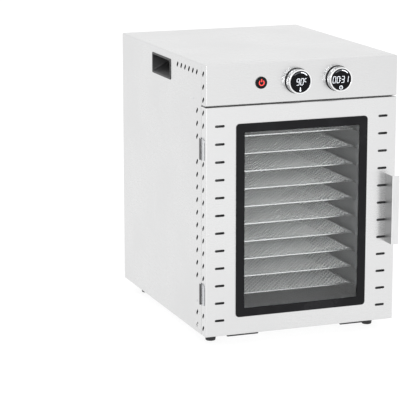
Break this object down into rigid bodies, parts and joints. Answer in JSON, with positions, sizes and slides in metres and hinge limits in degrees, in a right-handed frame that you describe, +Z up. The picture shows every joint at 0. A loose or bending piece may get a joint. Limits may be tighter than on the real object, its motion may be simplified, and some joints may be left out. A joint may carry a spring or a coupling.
{
  "type": "food dehydrator",
  "caption": "Cabinet food dehydrator in folded steel with a glazed hinged door, sliding mesh trays, a rear fan and ring heater, and two display knobs.",
  "frame": {"origin": "bottom centre of the whole object's box, on the surface it stands on; the box runs from the hinge barrels to the right grip's lip and from the door handle to the rear edge", "axes": "+Z up, the door and the controls face -Y, +X to the right seen from the front"},
  "size_m": [0.3548, 0.465, 0.485],
  "materials": {
    "cabinet_steel": "satin stainless sheet, fine grain",
    "liner_steel": "plain mill steel sheet",
    "tray_mesh": "fine expanded mesh in a folded rim",
    "black_plastic": "satin moulded plastic",
    "display_glass": "black gloss",
    "window_glass": "clear tempered glass",
    "rubber": "matte rubber",
    "knob_metal": "turned and satin anodised",
    "bright_metal": "zinc-plated steel",
    "motor_grey": "dark grey coated metal",
    "circuit_board": "green solder mask",
    "heater_sheath": "heat-tinted steel tube"
  },
  "bodies": {
    "cabinet": {"outer_wrap": "cabinet_steel", "base_pan": "cabinet_steel", "rear_panel": "cabinet_steel", "control_panel": "cabinet_steel", "front_frame": "cabinet_steel", "divider_shelf": "liner_steel", "liner_left": "liner_steel", "liner_right": "liner_steel", "liner_top": "liner_steel", "liner_floor": "liner_steel", "air_baffle": "liner_steel", "motor_bracket": "liner_steel", "fan_guard": "liner_steel", "left_grip_cup": "black_plastic", "right_grip_cup": "black_plastic", "power_bezel": "black_plastic", "temperature_bezel": "black_plastic", "time_bezel": "black_plastic", "power_inlet": "black_plastic", "temperature_display": "display_glass", "time_display": "display_glass", "front_left_foot": "rubber", "front_right_foot": "rubber", "rear_left_foot": "rubber", "rear_right_foot": "rubber", "upper_hinge_body_leaf": "bright_metal", "lower_hinge_body_leaf": "bright_metal", "upper_hinge_pin": "bright_metal", "lower_hinge_pin": "bright_metal", "fan_motor": "motor_grey", "door_magnet": "motor_grey", "control_board": "circuit_board", "power_board": "circuit_board", "heater_element": "heater_sheath"},
    "door": {"door_skin": "cabinet_steel", "door_liner": "liner_steel", "window_border": "display_glass", "window_glass": "window_glass", "door_gasket": "rubber", "door_handle": "cabinet_steel", "left_door_strip": "rubber", "right_door_strip": "rubber", "strike_plate": "bright_metal", "upper_hinge_door_leaf": "bright_metal", "lower_hinge_door_leaf": "bright_metal"},
    "fan": {"fan_impeller": "bright_metal", "motor_shaft": "bright_metal"},
    "temperature_knob": {"temperature_knob": "knob_metal"},
    "time_knob": {"time_knob": "knob_metal"},
    "power_button": {"power_button": "black_plastic"},
    "tray_01": {"tray_01": "tray_mesh"},
    "tray_02": {"tray_02": "tray_mesh"},
    "tray_03": {"tray_03": "tray_mesh"},
    "tray_04": {"tray_04": "tray_mesh"},
    "tray_05": {"tray_05": "tray_mesh"},
    "tray_06": {"tray_06": "tray_mesh"},
    "tray_07": {"tray_07": "tray_mesh"},
    "tray_08": {"tray_08": "tray_mesh"},
    "tray_09": {"tray_09": "tray_mesh"},
    "tray_10": {"tray_10": "tray_mesh"}
  },
  "joints": [
    {"name": "door_hinge", "type": "hinge", "parent": "cabinet", "child": "door", "pos_m": [-0.1747, -0.1855, 0.2167], "axis": [0, 0, -1], "range_deg": [0, 180]},
    {"name": "temperature_turn", "type": "hinge", "parent": "cabinet", "child": "temperature_knob", "pos_m": [-0.0102, -0.2135, 0.451], "axis": [0, 1, 0], "continuous": true},
    {"name": "time_turn", "type": "hinge", "parent": "cabinet", "child": "time_knob", "pos_m": [0.0643, -0.2135, 0.451], "axis": [0, 1, 0], "continuous": true},
    {"name": "power_press", "type": "slide", "parent": "cabinet", "child": "power_button", "axis": [0, 1, 0], "range_m": [0, 0.0015], "stiffness_N_per_m": 800},
    {"name": "fan_spin", "type": "hinge", "parent": "cabinet", "child": "fan", "pos_m": [0.0013, 0.1935, 0.219], "axis": [0, 1, 0], "continuous": true},
    {"name": "tray_01_slide", "type": "slide", "parent": "cabinet", "child": "tray_01", "axis": [0, -1, 0], "range_m": [0, 0.022]},
    {"name": "tray_02_slide", "type": "slide", "parent": "cabinet", "child": "tray_02", "axis": [0, -1, 0], "range_m": [0, 0.022]},
    {"name": "tray_03_slide", "type": "slide", "parent": "cabinet", "child": "tray_03", "axis": [0, -1, 0], "range_m": [0, 0.022]},
    {"name": "tray_04_slide", "type": "slide", "parent": "cabinet", "child": "tray_04", "axis": [0, -1, 0], "range_m": [0, 0.022]},
    {"name": "tray_05_slide", "type": "slide", "parent": "cabinet", "child": "tray_05", "axis": [0, -1, 0], "range_m": [0, 0.022]},
    {"name": "tray_06_slide", "type": "slide", "parent": "cabinet", "child": "tray_06", "axis": [0, -1, 0], "range_m": [0, 0.022]},
    {"name": "tray_07_slide", "type": "slide", "parent": "cabinet", "child": "tray_07", "axis": [0, -1, 0], "range_m": [0, 0.022]},
    {"name": "tray_08_slide", "type": "slide", "parent": "cabinet", "child": "tray_08", "axis": [0, -1, 0], "range_m": [0, 0.022]},
    {"name": "tray_09_slide", "type": "slide", "parent": "cabinet", "child": "tray_09", "axis": [0, -1, 0], "range_m": [0, 0.022]},
    {"name": "tray_10_slide", "type": "slide", "parent": "cabinet", "child": "tray_10", "axis": [0, -1, 0], "range_m": [0, 0.022]}
  ]
}
